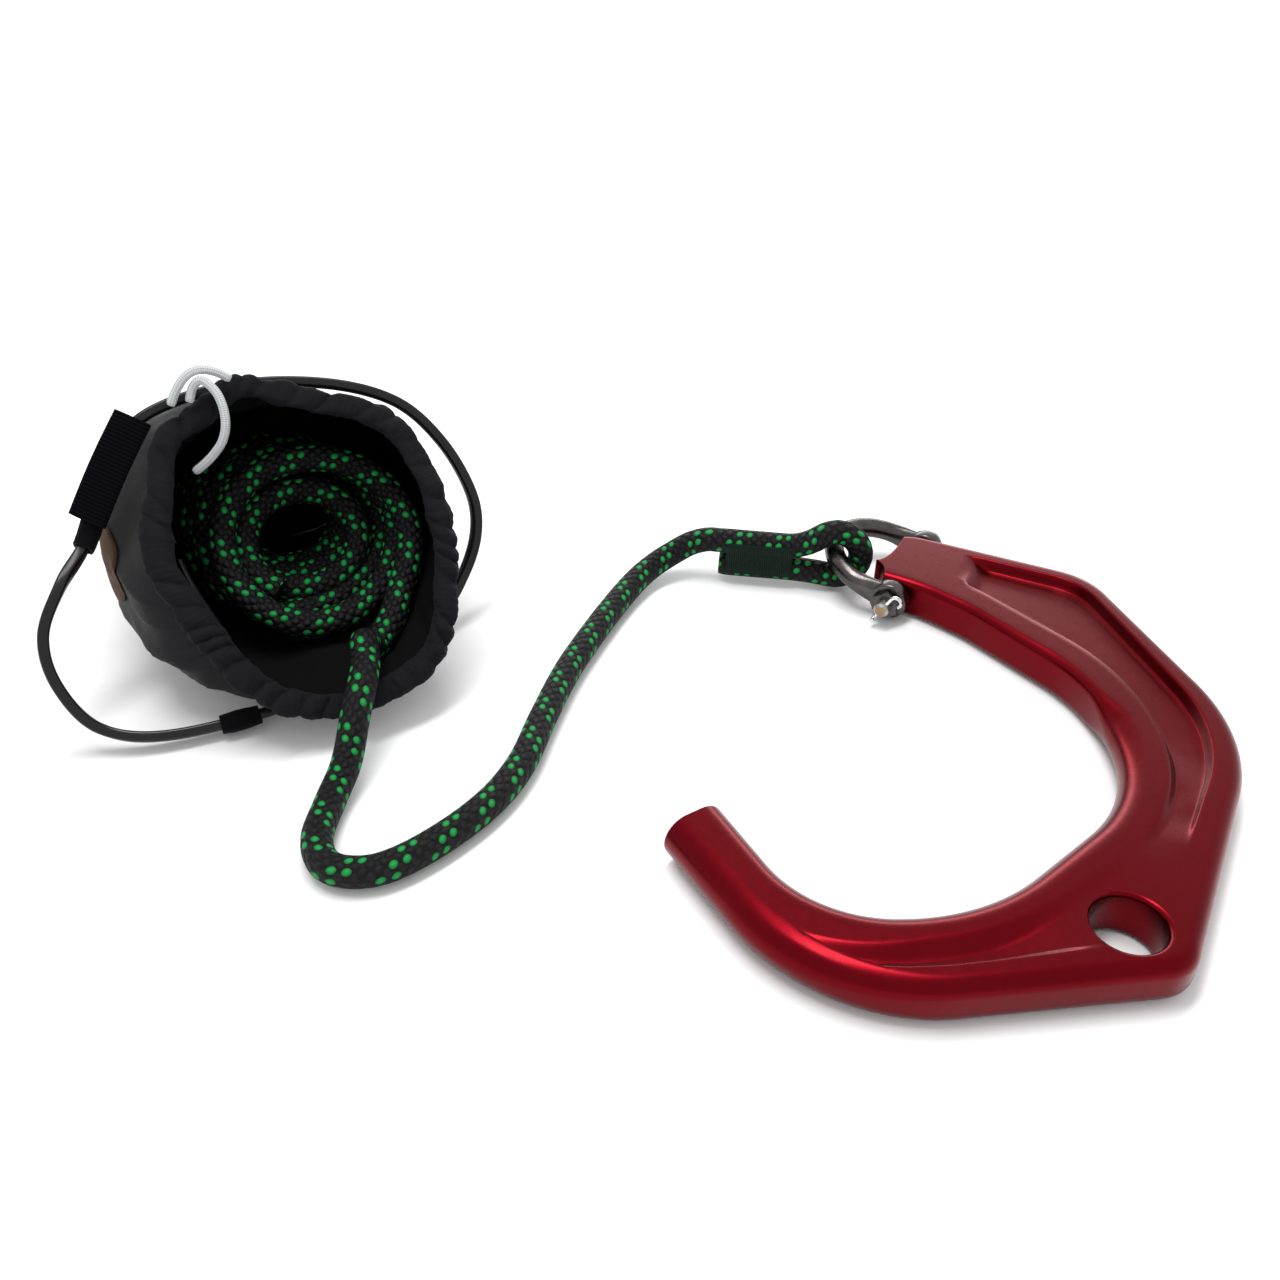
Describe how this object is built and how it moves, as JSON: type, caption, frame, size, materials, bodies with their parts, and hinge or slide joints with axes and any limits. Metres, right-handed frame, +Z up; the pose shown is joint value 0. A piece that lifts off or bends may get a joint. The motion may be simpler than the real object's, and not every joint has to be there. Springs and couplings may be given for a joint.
{
  "type": "throwing hook kit",
  "caption": "Broad forged throwing hook on a bow shackle, joined by a sewn-eye braided rope to a soft drawstring bag that holds the coiled rope and a springy hoop.",
  "frame": {"origin": "middle of the footprint of the hook, shackle and bag, on the surface they lie on", "axes": "+X from the bag towards the hook, +Y away from the viewer, +Z up; the hook's flat faces lie across Z"},
  "size_m": [0.4104, 0.2737, 0.1128],
  "materials": {
    "red_anodised": "red anodised, satin",
    "steel": "satin",
    "dark_steel": "dark gunmetal",
    "chrome": "bright",
    "rope": "black braid with green flecks",
    "thread": "dark green whipping thread",
    "bag_fabric": "woven nylon, black",
    "webbing": "ribbed webbing, black",
    "hoop_plastic": "glossy black",
    "white_cord": "smooth white cord",
    "patch": "bronze brown, smooth"
  },
  "bodies": {
    "bag_and_rope": {"bag_shell": "bag_fabric", "bag_base": "bag_fabric", "bag_hem": "bag_fabric", "spring_hoop": "hoop_plastic", "hoop_tab_left": "bag_fabric", "hoop_tab_front": "bag_fabric", "side_strap": "webbing", "mouth_stay": "hoop_plastic", "draw_cord": "white_cord", "draw_cord_bight": "white_cord", "side_patch": "patch", "rope_coil": "rope", "rope_run": "rope", "rope_eye": "rope", "eye_stitching": "thread"},
    "shackle": {"shackle_bow": "dark_steel"},
    "pin": {"shackle_bolt": "steel", "shackle_nut": "dark_steel", "split_pin": "chrome"},
    "hook": {"hook_body": "red_anodised"}
  },
  "joints": [
    {"name": "bow_swivel", "type": "hinge", "parent": "bag_and_rope", "child": "shackle", "pos_m": [0.1082, 0.08211, 0.01056], "axis": [-0.2264, 0.1255, -0.9659], "range_deg": [-65, 5]},
    {"name": "hook_swing", "type": "hinge", "parent": "shackle", "child": "hook", "pos_m": [0.1166, 0.0775, 0.008], "axis": [0.4848, 0.8746, 0], "range_deg": [-75, 75]},
    {"name": "pin_turn", "type": "hinge", "parent": "shackle", "child": "pin", "pos_m": [0.1166, 0.0775, 0.008], "axis": [0.4848, 0.8746, 0], "continuous": true}
  ]
}
